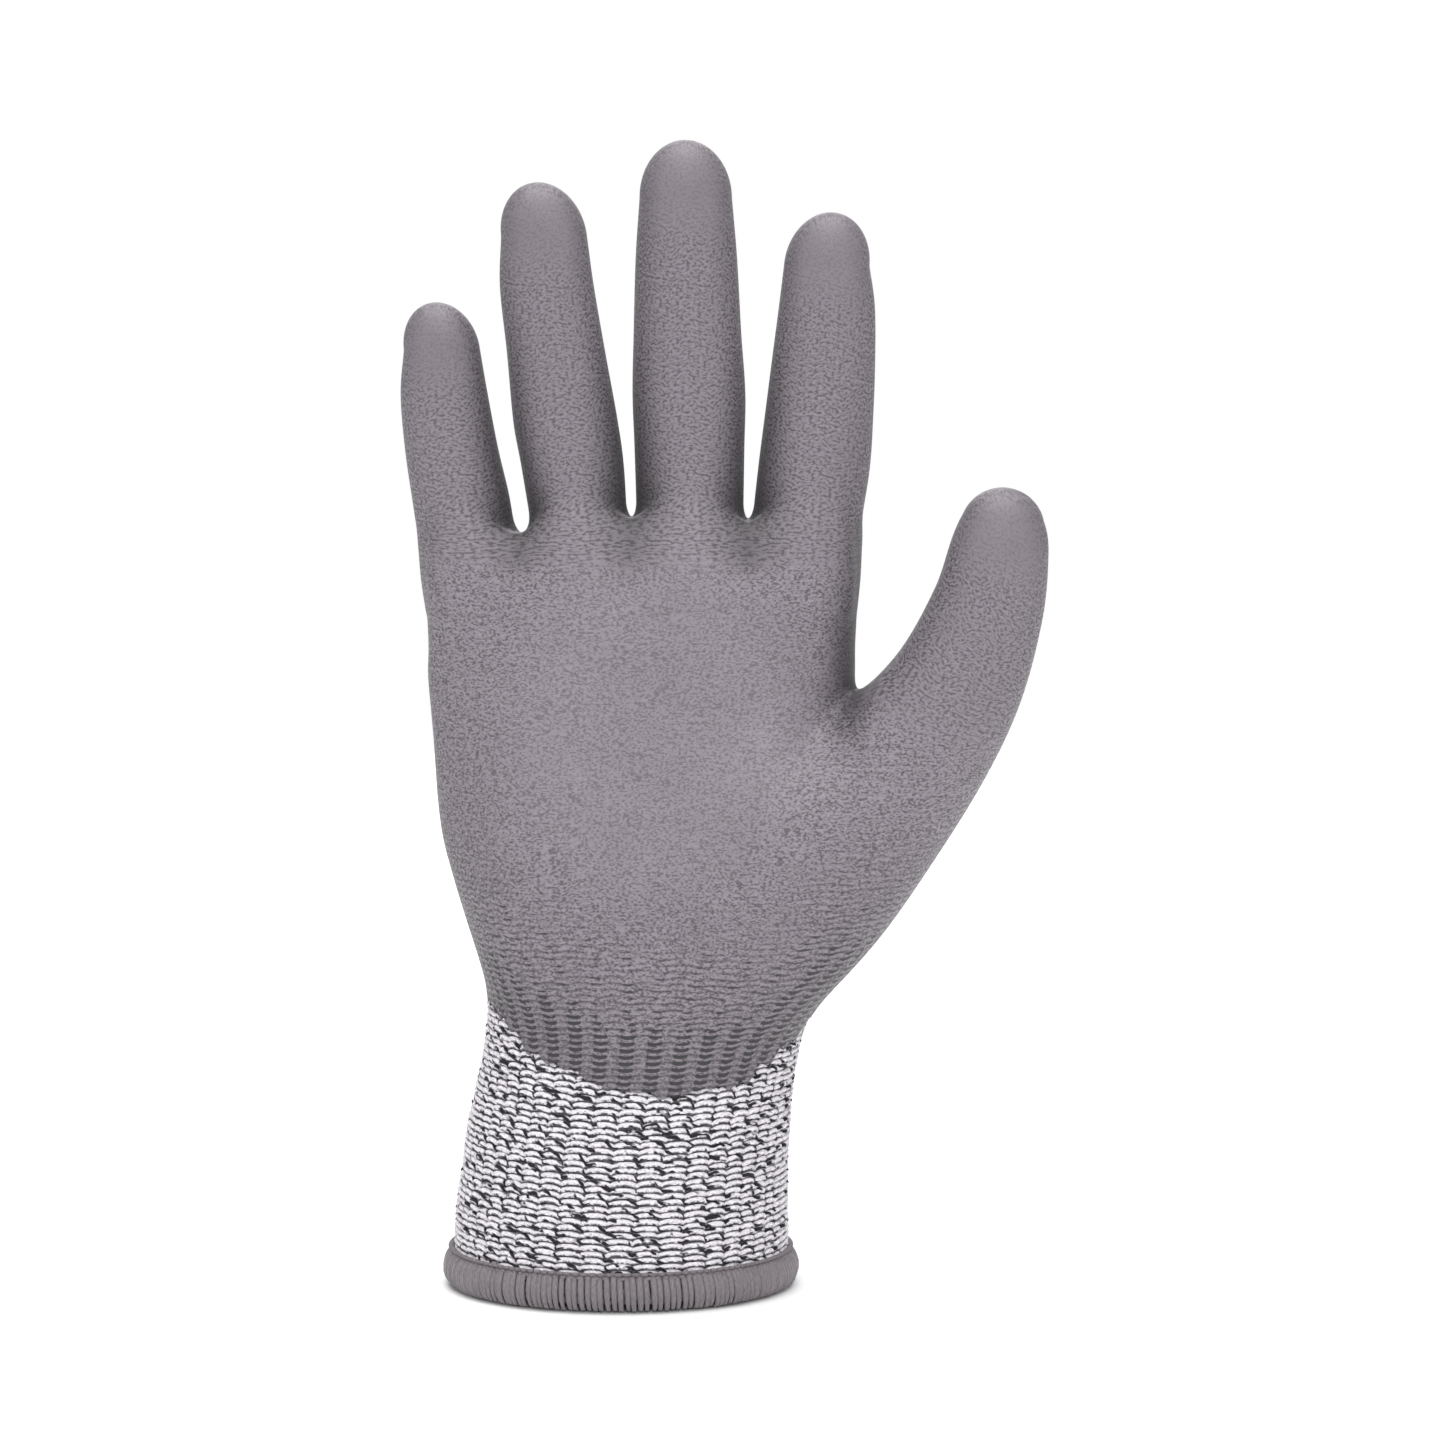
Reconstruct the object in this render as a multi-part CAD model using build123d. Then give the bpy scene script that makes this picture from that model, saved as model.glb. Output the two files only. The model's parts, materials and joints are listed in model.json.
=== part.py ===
from build123d import *
import math
import os

# A right-hand cut resistant glove, in the shape it keeps on an open hand. A seamless knitted
# liner is dipped in polyurethane over the palm and the fingers, and the knitted cuff ends in an
# overlocked hem. The liner is cut into tubes at the lines where a worn glove folds, and each
# tube is hollow, so a hand can go in. The coating is a thin skin on the palm side of each tube.
#
# Millimetres. The origin is the centre of the cuff's mouth, +Z points to the fingertips, the
# palm faces -Y and the thumb is on the +X side.

# Materials' thickness
LINER = 1.2  # knitted liner's wall
COAT = 0.4  # polyurethane film on the liner
FOLD_GAP = 0.3  # clear gap across each fold line
RING_POINTS = 12  # spline points round a tube's section

# Levels of the fold lines and edges along the hand
HEM_TOP = 7.0
WRIST_FOLD = 45.0
KNUCKLE_FOLD = 143.0
FINGER_FOLD = 166.0  # bottom of the gaps between the fingers, where the four stalls begin
COAT_BACK = 2.0  # the coating reaches this far behind the hand's middle plane

# Cuff and palm sections: height, middle x, half width, half depth, power of the superellipse
CUFF_SECTIONS = [
    (1.2, 0.0, 36.4, 26.0, 2.0),
    (24.0, 1.6, 35.6, 25.2, 2.0),
    (WRIST_FOLD, 3.8, 34.6, 24.0, 2.0),
]
PALM_SECTIONS = [
    (WRIST_FOLD, 3.8, 34.6, 24.0, 2.0),
    (58.0, 5.7, 34.4, 21.5, 2.1),
    (66.0, 7.3, 35.8, 19.6, 2.2),
    (86.0, 6.4, 40.6, 17.6, 2.3),
    (104.0, 5.3, 44.0, 16.6, 2.4),
    (121.0, 5.4, 45.2, 16.0, 2.5),
    (KNUCKLE_FOLD, 5.1, 46.4, 15.2, 2.6),
]
KNUCKLE_SECTIONS = [
    (KNUCKLE_FOLD, 5.1, 46.4, 15.2, 2.6),
    (155.0, 5.0, 47.2, 14.2, 2.8),
    (FINGER_FOLD, 4.9, 48.2, 12.8, 3.0),
]

# Thumb: centre, half width and half depth of each section, from inside the palm to the tip
THUMB_SECTIONS = [
    ((16.0, -2.0, 62.0), 14.0, 13.0),
    ((49.5, -6.0, 98.0), 17.0, 15.5),
    ((67.5, -10.0, 122.8), 15.2, 14.0),
    ((78.3, -13.0, 149.5), 12.4, 11.4),
    ((82.4, -15.6, 168.0), 9.8, 9.0),
]
THUMB_END = 8.6  # length of the thumb's rounded end
THUMB_ROLL = 8.0  # the thumb's pad is turned this far from the palm side towards the fingers
THUMB_POWER = 2.1

# Fingers: root x and z, sideways lean, three lengths, half widths at root, two folds and end,
# and how far each length leans towards the palm
FINGERS = {
    "little": ((-32.9, 166.0), -7.0, (18.0, 15.0, 17.0), (10.4, 10.1, 9.3, 8.7), (4, 9, 14)),
    "ring": ((-8.5, 166.0), -6.1, (28.5, 23.0, 24.5), (10.8, 11.3, 10.4, 9.9), (3, 8, 12)),
    "middle": ((15.5, 166.0), -0.9, (33.5, 25.5, 25.5), (11.5, 12.0, 10.9, 10.3), (2, 6, 10)),
    "index": ((40.8, 166.0), 4.2, (26.5, 20.5, 22.5), (12.0, 11.8, 10.7, 10.1), (2, 6, 9)),
}
FINGER_Y = 1.0  # the roots lie this far behind the middle plane
FINGER_FLATNESS = 0.9  # half depth over half width
FINGER_POWER = 2.15
STALL_DEPTH = 14.0  # a finger's tube starts this far under its root, inside the palm
STALL_TAPER = 0.6  # and is this much narrower there
TIP_LENGTH = 0.95  # a fingertip's rounded length over its half width
TIP_STEPS = (24, 46, 64, 78)  # degrees round the tip, where its sections lie
NAIL_SLANT = 0.35  # how far the coating's edge leans back over a fingertip
SEGMENTS = ("root", "middle", "tip")

# Hem and cuff trims
HEM_OUT = 2.7  # the hem stands this far proud of the cuff
HEM_IN = 1.5  # and this far inside the liner
HEM_ROUND = 2.0
ELASTIC_COUNT = 9
ELASTIC_HEIGHT = 0.7
ELASTIC_DEPTH = 0.5
NEEDLE_HEIGHT = 1.1  # height of the hem's row of needle thread
NEEDLE_DEPTH = 0.5

# The coating's lower edge hangs in a curve over the heel of the hand: x and z along it
COAT_EDGE_Z = 69.0
COAT_EDGE = [(-36, 68), (-22, 58), (-12, 52), (0, 48.5), (12, 47), (26, 49), (37, 56.5), (50, 68)]

BIG = 400.0  # side of the blocks that cut, larger than the glove
BESIDE = 100.0  # clear of the glove on either side


def superellipse(half_width, half_depth, power):
    """Points round a closed section, from +x anticlockwise."""
    points = []
    for i in range(RING_POINTS):
        turn = 2 * math.pi * i / RING_POINTS
        c, s = math.cos(turn), math.sin(turn)
        x = math.copysign(abs(c) ** (2 / power), c) * half_width
        y = math.copysign(abs(s) ** (2 / power), s) * half_depth
        points.append((x, y))
    return points


def section(centre, side, normal, half_width, half_depth, power):
    """One flat section of a tube, with its width along side."""
    plane = Plane(origin=centre, x_dir=side, z_dir=normal)
    outline = Spline(*superellipse(half_width, half_depth, power), periodic=True)
    return plane * make_face(outline)


def level_tube(sections, grow, low=None, high=None):
    """A solid through level sections, grown sideways, that may end beyond its end sections."""
    faces = []
    for z, x, half_width, half_depth, power in sections:
        faces.append(
            section((x, 0, z), (1, 0, 0), (0, 0, 1), half_width + grow, half_depth + grow, power)
        )
    body = loft(faces, ruled=True)
    z, x, half_width, half_depth, power = sections[0]
    if low is not None and low < z:
        face = section((x, 0, z), (1, 0, 0), (0, 0, 1), half_width + grow, half_depth + grow, power)
        body += extrude(face, amount=low - z)
    z, x, half_width, half_depth, power = sections[-1]
    if high is not None and high > z:
        face = section((x, 0, z), (1, 0, 0), (0, 0, 1), half_width + grow, half_depth + grow, power)
        body += extrude(face, amount=high - z)
    return body


def between(low, high):
    """A slab that keeps what lies between two levels."""
    return Pos(0, 0, (low + high) / 2) * Box(BIG, BIG, high - low)


def front_of(y):
    """A block that keeps what lies on the palm side of y."""
    return Pos(0, y - BIG / 2, BIG / 2) * Box(BIG, BIG, 2 * BIG)


def beyond(point, direction, gap):
    """A block that starts gap beyond a plane through point, facing along direction."""
    plane = Plane(origin=point, z_dir=direction)
    return plane.offset(gap) * Pos(0, 0, BIG / 2) * Box(BIG, BIG, BIG)


# ---------------------------------------------------------------- skeleton of the digits


def finger_frame(name):
    """A finger's joint centres, segment directions and fold axis."""
    (x, z), lean, lengths, half_widths, pitches = FINGERS[name]
    a = math.radians(lean)
    side = Vector(math.cos(a), 0, -math.sin(a))
    centres = [Vector(x, FINGER_Y, z)]
    directions = []
    for length, pitch in zip(lengths, pitches):
        p = math.radians(pitch)
        direction = Vector(math.sin(a) * math.cos(p), -math.sin(p), math.cos(a) * math.cos(p))
        directions.append(direction)
        centres.append(centres[-1] + direction * length)
    return centres, directions, side, half_widths


def finger_folds(name):
    """The three folds of a finger: point on the axis, plane normal, fold axis, half width."""
    centres, directions, side, half_widths = finger_frame(name)
    folds = [(centres[0], Vector(0, 0, 1), Vector(1, 0, 0), half_widths[0])]
    for i in (1, 2):
        normal = (directions[i - 1] + directions[i]).normalized()
        folds.append((centres[i], normal, side, half_widths[i]))
    return folds


def palm_side(side, normal):
    """The direction that a fold closes towards."""
    return side.cross(normal)


def thumb_frame():
    """The thumb's section centres, their normals, and the fold axis at each."""
    centres = [Vector(*c) for c, _, _ in THUMB_SECTIONS]
    steps = [(b - a).normalized() for a, b in zip(centres, centres[1:])]
    normals = [steps[0]]
    for a, b in zip(steps, steps[1:]):
        normals.append((a + b).normalized())
    normals.append(steps[-1])
    sides = []
    roll = math.radians(THUMB_ROLL)
    for normal in normals:
        level = Vector(0, -1, 0).cross(normal) * -1
        across = level.normalized()
        palm = across.cross(normal)
        pad = palm * math.cos(roll) - across * math.sin(roll)
        sides.append(normal.cross(pad))
    return centres, normals, sides


# ---------------------------------------------------------------- tubes of the digits


def round_end(centre, direction, side, half_width, half_depth, power, length, grow):
    """Sections that close a digit's end in a round cap."""
    faces = []
    for step in TIP_STEPS:
        turn = math.radians(step)
        shrink = math.cos(turn)
        at = centre + direction * ((length + grow) * math.sin(turn))
        faces.append(
            section(
                at,
                side,
                direction,
                (half_width + grow) * shrink,
                (half_depth + grow) * shrink,
                power,
            )
        )
    return faces


def finger_tube(name, grow):
    """A whole finger as one solid, grown by grow, from below its root to its rounded end."""
    centres, directions, side, half_widths = finger_frame(name)
    tip = half_widths[3]
    end = centres[3] - directions[2] * (tip * TIP_LENGTH)
    below = centres[0] - directions[0] * STALL_DEPTH
    stations = [
        (below, directions[0], half_widths[0] - STALL_TAPER),
        (centres[0], directions[0], half_widths[0]),
        (centres[1], (directions[0] + directions[1]).normalized(), half_widths[1]),
        (centres[2], (directions[1] + directions[2]).normalized(), half_widths[2]),
        (end, directions[2], tip),
    ]
    faces = []
    for centre, normal, half_width in stations:
        half_depth = half_width * FINGER_FLATNESS + grow
        faces.append(section(centre, side, normal, half_width + grow, half_depth, FINGER_POWER))
    flat_tip = tip * FINGER_FLATNESS
    faces += round_end(
        end, directions[2], side, tip, flat_tip, FINGER_POWER, tip * TIP_LENGTH, grow
    )
    return loft(faces, ruled=True)


def thumb_tube(grow):
    """The whole thumb as one solid, from inside the palm to its rounded end."""
    centres, normals, sides = thumb_frame()
    faces = []
    for centre, normal, side, (_, half_width, half_depth) in zip(
        centres, normals, sides, THUMB_SECTIONS
    ):
        faces.append(
            section(centre, side, normal, half_width + grow, half_depth + grow, THUMB_POWER)
        )
    _, half_width, half_depth = THUMB_SECTIONS[-1]
    faces += round_end(
        centres[-1], normals[-1], sides[-1], half_width, half_depth, THUMB_POWER, THUMB_END, grow
    )
    return loft(faces, ruled=True)


def thumb_folds():
    """The thumb's two folds: point on the axis, plane normal, fold axis, half depth."""
    centres, normals, sides = thumb_frame()
    return [(centres[i], normals[i], sides[i], THUMB_SECTIONS[i][2]) for i in (2, 3)]


# ---------------------------------------------------------------- sub-parts


def finger_parts(name):
    """Liner and coating of the three segments of a finger."""
    outer = finger_tube(name, 0)
    shell = outer - finger_tube(name, -LINER)
    skin = finger_tube(name, COAT) - outer
    _, directions, side, _ = finger_frame(name)
    folds = finger_folds(name)
    parts = {}
    for i, segment in enumerate(SEGMENTS):
        region = beyond(folds[i][0], folds[i][1], FOLD_GAP / 2)
        palm = palm_side(side, directions[i])
        if i < 2:
            region -= beyond(folds[i + 1][0], folds[i + 1][1], -FOLD_GAP / 2)
        else:
            # The dip runs over the end of the finger, so the edge slants back across the nail.
            palm = (palm + directions[i] * NAIL_SLANT).normalized()
        edge = folds[i][0] - palm_side(side, directions[i]) * COAT_BACK
        parts[f"{name}_{segment}_liner"] = shell & region
        parts[f"{name}_{segment}_coating"] = (skin & region) & beyond(edge, palm, 0)
    return parts


def thumb_parts(palm_outer, palm_grown):
    """Liner and coating of the thumb's base, root and tip."""
    outer = thumb_tube(0)
    grown = thumb_tube(COAT)
    shell = outer - thumb_tube(-LINER)
    skin = grown - outer
    folds = thumb_folds()
    base = beyond(folds[0][0], folds[0][1] * -1, FOLD_GAP / 2)
    root = beyond(folds[0][0], folds[0][1], FOLD_GAP / 2)
    root -= beyond(folds[1][0], folds[1][1], -FOLD_GAP / 2)
    tip = beyond(folds[1][0], folds[1][1], FOLD_GAP / 2)
    front = front_of(THUMB_SECTIONS[2][0][1] + COAT_BACK)
    base_front = front_of(COAT_BACK) & between(COAT_EDGE_Z, BIG)
    return {
        "thumb_base_liner": (shell & base) - palm_outer,
        "thumb_base_coating": ((skin & base) - palm_grown) & base_front,
        "thumb_root_liner": shell & root,
        "thumb_root_coating": (skin & root) & front,
        "thumb_tip_liner": shell & tip,
        "thumb_tip_coating": skin & tip,
    }


def coat_cover():
    """What the coating covers on the palm side: all above its curved lower edge."""
    low_left, low_right = (-BESIDE, COAT_EDGE_Z), (BESIDE, COAT_EDGE_Z)
    corners = [low_left, *COAT_EDGE, low_right, (BESIDE, FINGER_FOLD), (-BESIDE, FINGER_FOLD)]
    cover = extrude(Plane.XZ * make_face(Polyline(*corners, close=True)), amount=BESIDE)
    return Pos(0, COAT_BACK, 0) * cover


def palm_parts():
    """Liner and coating of the palm and of the thumb's base, which opens into it."""
    low, high = WRIST_FOLD + FOLD_GAP / 2, KNUCKLE_FOLD - FOLD_GAP / 2
    slab = between(low, high)
    outer = level_tube(PALM_SECTIONS, 0)
    grown = level_tube(PALM_SECTIONS, COAT)
    inner = level_tube(PALM_SECTIONS, -LINER)
    parts = thumb_parts(outer, grown)
    parts["palm_liner"] = ((outer - inner) & slab) - thumb_tube(-LINER)
    parts["palm_coating"] = ((grown - outer) & slab & coat_cover()) - thumb_tube(COAT)
    return parts


def knuckle_parts():
    """Liner and coating of the four-finger part of the palm, open at its foot and its stalls."""
    slab = between(KNUCKLE_FOLD + FOLD_GAP / 2, FINGER_FOLD - FOLD_GAP / 2)
    outer = level_tube(KNUCKLE_SECTIONS, 0)
    inner = level_tube(KNUCKLE_SECTIONS, -LINER) & between(0, FINGER_FOLD - FOLD_GAP / 2 - LINER)
    liner = (outer - inner) & slab
    for name in FINGERS:
        liner -= finger_tube(name, -LINER)
    return {
        "knuckle_liner": liner,
        "knuckle_coating": (level_tube(KNUCKLE_SECTIONS, COAT) - outer) & slab & front_of(COAT_BACK),
    }


def cuff_band(inset, depth, low, high):
    """A band that follows the cuff's wall, from inset inside its outer face, depth deep."""
    return (
        level_tube(CUFF_SECTIONS, -inset, low=low) - level_tube(CUFF_SECTIONS, -inset - depth, low=low)
    ) & between(low, high)


def cuff_parts():
    """The knitted cuff, its elastic rings, the overlocked hem and its needle thread."""
    low, high = CUFF_SECTIONS[0][0], WRIST_FOLD - FOLD_GAP / 2
    cuff = (level_tube(CUFF_SECTIONS, 0) - level_tube(CUFF_SECTIONS, -LINER)) & between(low, high)
    rings = []
    pitch = (WRIST_FOLD - HEM_TOP) / (ELASTIC_COUNT + 1)
    for i in range(ELASTIC_COUNT):
        z = HEM_TOP + pitch * (i + 1)
        ring = cuff_band(LINER, ELASTIC_DEPTH, z, z + ELASTIC_HEIGHT)
        rings += ring.solids()
    _, x, half_width, half_depth, power = CUFF_SECTIONS[0]
    face = section((x, 0, 0), (1, 0, 0), (0, 0, 1), half_width + HEM_OUT, half_depth + HEM_OUT, power)
    hole = section(
        (x, 0, 0),
        (1, 0, 0),
        (0, 0, 1),
        half_width - LINER - HEM_IN,
        half_depth - LINER - HEM_IN,
        power,
    )
    block = extrude(face, amount=HEM_TOP)
    block = fillet(block.edges(), HEM_ROUND)
    bore = extrude(hole, amount=HEM_TOP)
    hem = block - bore
    hem -= level_tube(CUFF_SECTIONS, 0) - level_tube(CUFF_SECTIONS, -LINER)
    needle = cuff_band(-NEEDLE_DEPTH, NEEDLE_DEPTH, HEM_TOP, HEM_TOP + NEEDLE_HEIGHT)
    return {
        "cuff_knit": cuff,
        "cuff_elastic_rings": Compound(children=rings),
        "hem_overlock_binding": hem,
        "hem_needle_thread": needle,
    }


def glove():
    """Every sub-part, by name."""
    parts = cuff_parts()
    parts.update(palm_parts())
    parts.update(knuckle_parts())
    for name in FINGERS:
        parts.update(finger_parts(name))
    return parts


def main():
    os.makedirs("parts", exist_ok=True)
    for name, shape in glove().items():
        solids = shape.solids()
        print(name, len(solids), round(sum(s.volume for s in solids), 1))
        export_step(Compound(children=list(solids)), f"parts/{name}.step")


if __name__ == "__main__":
    main()
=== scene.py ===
import bpy
import json
import math
import numpy as np
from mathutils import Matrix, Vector


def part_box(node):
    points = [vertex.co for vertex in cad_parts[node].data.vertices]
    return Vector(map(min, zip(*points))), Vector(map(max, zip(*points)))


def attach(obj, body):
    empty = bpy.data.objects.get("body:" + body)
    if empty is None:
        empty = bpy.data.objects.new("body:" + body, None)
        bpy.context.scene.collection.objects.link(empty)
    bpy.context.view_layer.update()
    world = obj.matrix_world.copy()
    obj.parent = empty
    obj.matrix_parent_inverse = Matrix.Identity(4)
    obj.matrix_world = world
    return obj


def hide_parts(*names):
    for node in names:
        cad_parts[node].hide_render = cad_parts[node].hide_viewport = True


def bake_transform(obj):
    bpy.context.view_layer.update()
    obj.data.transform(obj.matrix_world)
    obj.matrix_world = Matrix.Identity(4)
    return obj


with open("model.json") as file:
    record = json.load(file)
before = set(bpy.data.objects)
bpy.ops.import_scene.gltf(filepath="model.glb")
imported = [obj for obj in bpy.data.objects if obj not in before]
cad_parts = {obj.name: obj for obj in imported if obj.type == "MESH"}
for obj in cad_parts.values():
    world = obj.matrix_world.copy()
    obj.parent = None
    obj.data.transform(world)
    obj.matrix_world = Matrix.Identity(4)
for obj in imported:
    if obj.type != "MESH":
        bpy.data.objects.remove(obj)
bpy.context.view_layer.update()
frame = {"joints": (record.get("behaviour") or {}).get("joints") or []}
joints = {j["name"]: j for j in frame["joints"]}

# ---------------------------------------------------------------- the worn shape, in millimetres

DIGITS = ("little", "ring", "middle", "index")
FLAT = 0.9  # a finger's depth over its width

# Palm and cuff: height, thumbless left and right edges, half depth, power of the section
TORSO = np.array(
    [
        (-12.0, -37.4, 36.6, 26.2, 2.0),
        (2.0, -37.0, 36.6, 26.0, 2.0),
        (17.0, -36.4, 36.6, 25.6, 2.0),
        (25.6, -35.1, 36.6, 25.2, 2.0),
        (34.3, -34.0, 37.0, 24.8, 2.0),
        (42.9, -32.1, 37.6, 24.0, 2.0),
        (51.6, -30.3, 38.6, 22.6, 2.05),
        (60.3, -29.2, 39.0, 20.8, 2.1),
        (67.0, -29.3, 39.8, 19.6, 2.15),
        (73.3, -30.8, 41.4, 18.8, 2.2),
        (82.0, -33.6, 44.4, 18.0, 2.25),
        (90.6, -36.2, 46.8, 17.4, 2.3),
        (99.3, -38.4, 48.8, 16.9, 2.35),
        (108.0, -39.5, 49.6, 16.5, 2.4),
        (121.0, -40.3, 50.2, 16.0, 2.45),
        (134.0, -41.2, 50.6, 15.5, 2.5),
        (143.0, -40.6, 50.2, 15.1, 2.5),
        (155.7, -40.6, 50.4, 13.6, 2.5),
        (166.0, -40.6, 50.6, 11.2, 2.5),
        (176.0, -40.8, 50.8, 9.6, 2.5),
    ]
)
TORSO_TOP = 165.5

# Fingers: centre line (x, z) and half width, from the root to the centre of the rounded end
FINGER_LINES = {
    "little": [(-32.0, 150, 9.6), (-32.7, 162, 10.3), (-34.1, 173, 10.4), (-36.0, 184, 9.9),
               (-37.4, 196, 9.2), (-37.7, 205.6, 8.0)],
    "ring": [(-7.4, 150, 10.2), (-8.5, 165, 10.2), (-10.0, 180, 10.9), (-11.5, 190, 11.1),
             (-13.4, 205, 10.4), (-15.2, 219, 9.9), (-15.7, 229.8, 9.0)],
    "middle": [(15.3, 150, 11.4), (15.2, 168, 11.4), (15.1, 184, 11.7), (15.0, 196, 12.0),
               (14.7, 209, 11.4), (14.5, 225, 10.7), (14.4, 237.8, 9.7)],
    "index": [(39.0, 150, 11.2), (40.3, 167, 11.6), (41.9, 180, 11.9), (43.0, 192, 11.5),
              (43.9, 204, 10.9), (44.5, 215, 10.1), (44.4, 223.4, 9.0)],
}
CAP = 1.25  # a fingertip's length over its half width
THUMB_LINE = [
    ((17.0, -1.0, 66.0), 15.0),
    ((28.4, -3.0, 79.2), 17.4),
    ((43.5, -5.0, 94.5), 19.0),
    ((59.2, -7.5, 114.3), 17.2),
    ((71.5, -10.0, 132.6), 14.3),
    ((78.4, -12.5, 150.0), 12.0),
    ((81.0, -14.2, 163.0), 10.4),
    ((81.6, -14.8, 168.0), 8.9),
]
THUMB_FLAT = 0.88
PADS = (  # soft bulges on the palm side: centre, half sizes
    ((-16.0, -11.0, 96.0), (12.0, 8.5, 30.0)),
    ((31.0, -13.0, 94.0), (17.0, 10.5, 27.0)),
    ((5.0, -7.5, 150.0), (33.0, 7.5, 15.0)),
)


def bend_line(points):
    """Dense smooth samples through rows of numbers, by their second last column."""
    points = np.array(points, float)
    rows = []
    ext = np.vstack([2 * points[0] - points[1], points, 2 * points[-1] - points[-2]])
    for i in range(len(points) - 1):
        p0, p1, p2, p3 = ext[i : i + 4]
        for t in np.linspace(0, 1, 12, endpoint=False):
            rows.append(
                0.5 * (2 * p1 + (p2 - p0) * t + (2 * p0 - 5 * p1 + 4 * p2 - p3) * t * t
                       + (3 * p1 - p0 - 3 * p2 + p3) * t ** 3)
            )
    rows.append(points[-1])
    return np.array(rows)


def finger_depth(name):
    """Heights and y positions of a finger's centre line, taken from the joints of the frame."""
    z, y = [140.0], [0.6]
    for segment in ("root", "middle", "tip"):
        j = joints[f"{name}_{segment}_fold"]
        z.append(j["pos_m"][2] * 1000)
        y.append(j["pos_m"][1] * 1000)
    z.append(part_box(f"{name}_tip_liner")[1][2] * 1000)
    half = [finger_half(name, h) * FLAT + 0.4 for h in z[1:4]]
    y[1:4] = [a + b for a, b in zip(y[1:4], half)]
    y.append(y[-1] * 2 - y[-2] - 0.8)
    return np.array(z), np.array(y)


FINGERS = {name: bend_line(rows) for name, rows in FINGER_LINES.items()}


def finger_half(name, z):
    line = FINGERS[name]
    return float(np.interp(z, line[:, 1], line[:, 2]))


FINGER_Y = {name: finger_depth(name) for name in DIGITS}
THUMB = bend_line([(*p, r) for p, r in THUMB_LINE])
TORSO_FINE = bend_line(TORSO)


def smooth_min(a, b, k):
    h = np.clip(0.5 + 0.5 * (b - a) / k, 0, 1)
    return b + (a - b) * h - k * h * (1 - h)


def step(t):
    t = np.clip(t, 0, 1)
    return t * t * (3 - 2 * t)


def torso_at(z):
    """Middle x, half width, half depth and power of the palm and cuff at these heights."""
    rows = [np.interp(z, TORSO_FINE[:, 0], TORSO_FINE[:, i]) for i in range(1, 5)]
    return (rows[0] + rows[1]) / 2, (rows[1] - rows[0]) / 2, rows[2], rows[3]


def torso_field(p):
    x0, a, b, n = torso_at(p[:, 2])
    u, v = np.abs((p[:, 0] - x0) / a) + 1e-9, np.abs(p[:, 1] / b) + 1e-9
    q = (u**n + v**n) ** (1 / n)
    g = np.sqrt((u ** (n - 1) / a) ** 2 + (v ** (n - 1) / b) ** 2) * q ** (1 - n)
    side = (q - 1) / np.maximum(g, 1e-4)
    top = TORSO_TOP + 1.5 - 2.6 * step((-12 - p[:, 0]) / 10)
    return -smooth_min(-side, top - p[:, 2], 5.0)


def finger_field(p, name):
    line = FINGERS[name]
    z = np.minimum(p[:, 2], line[-1, 1])
    x0, r = np.interp(z, line[:, 1], line[:, 0]), np.interp(z, line[:, 1], line[:, 2])
    y0 = np.interp(p[:, 2], *FINGER_Y[name])
    lean = (line[-1, 0] - line[0, 0]) / (line[-1, 1] - line[0, 1])
    above = np.maximum(p[:, 2] - line[-1, 1], 0)
    dx = p[:, 0] - x0 - above * lean
    d = np.sqrt(dx**2 + ((p[:, 1] - y0) / FLAT) ** 2 + (above / CAP) ** 2) - r
    d += 0.015 * np.maximum(159 - p[:, 2], 0) ** 2
    below = line[0, 1] - p[:, 2]
    return np.where(below > 0, np.sqrt(np.maximum(d, 0) ** 2 + below**2), d)


def thumb_field(p):
    q = p * (1, 1 / THUMB_FLAT, 1)
    line = THUMB * (1, 1 / THUMB_FLAT, 1, 1)
    out = np.full(len(p), 1e3)
    for a, b in zip(line[:-1], line[1:]):
        d = b[:3] - a[:3]
        t = np.clip((q - a[:3]) @ d / (d @ d), 0, 1)
        out = np.minimum(out, np.linalg.norm(q - a[:3] - t[:, None] * d, axis=1) - a[3] - t * (b[3] - a[3]))
    return out


def pad_field(p, pad):
    centre, size = np.array(pad[0]), np.array(pad[1])
    q = (p - centre) / size
    k = np.linalg.norm(q, axis=1)
    return (k - 1) * min(size)


def hand(p):
    """Signed distance, near enough, to the outside of the glove on its open hand."""
    d = torso_field(p)
    for pad in PADS:
        d = smooth_min(d, pad_field(p, pad), 9.0)
    fingers = None
    for name in DIGITS:
        f = finger_field(p, name)
        fingers = f if fingers is None else smooth_min(fingers, f, 1.2)
    d = smooth_min(d, fingers, 4.0 + 5.0 * step((np.abs(p[:, 1]) - 4.5) / 6))
    near = (p[:, 0] > -8) & (p[:, 2] > 38) & (p[:, 2] < 190)
    thumb = np.full(len(p), 60.0)
    thumb[near] = thumb_field(p[near])
    return smooth_min(d, thumb, 5.0 + 9.0 * step((128 - p[:, 2]) / 22))


def slope(p, h=0.15):
    g = np.empty_like(p)
    for i in range(3):
        e = np.zeros(3)
        e[i] = h
        g[:, i] = (hand(p + e) - hand(p - e)) / (2 * h)
    return g


def settle(p, level=0.0, rounds=3):
    """Moves points along the field's slope onto the surface at that level."""
    for _ in range(rounds):
        g = slope(p)
        p = p - ((hand(p) - level) / np.maximum((g**2).sum(1), 1e-3))[:, None] * g
    return p


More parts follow.
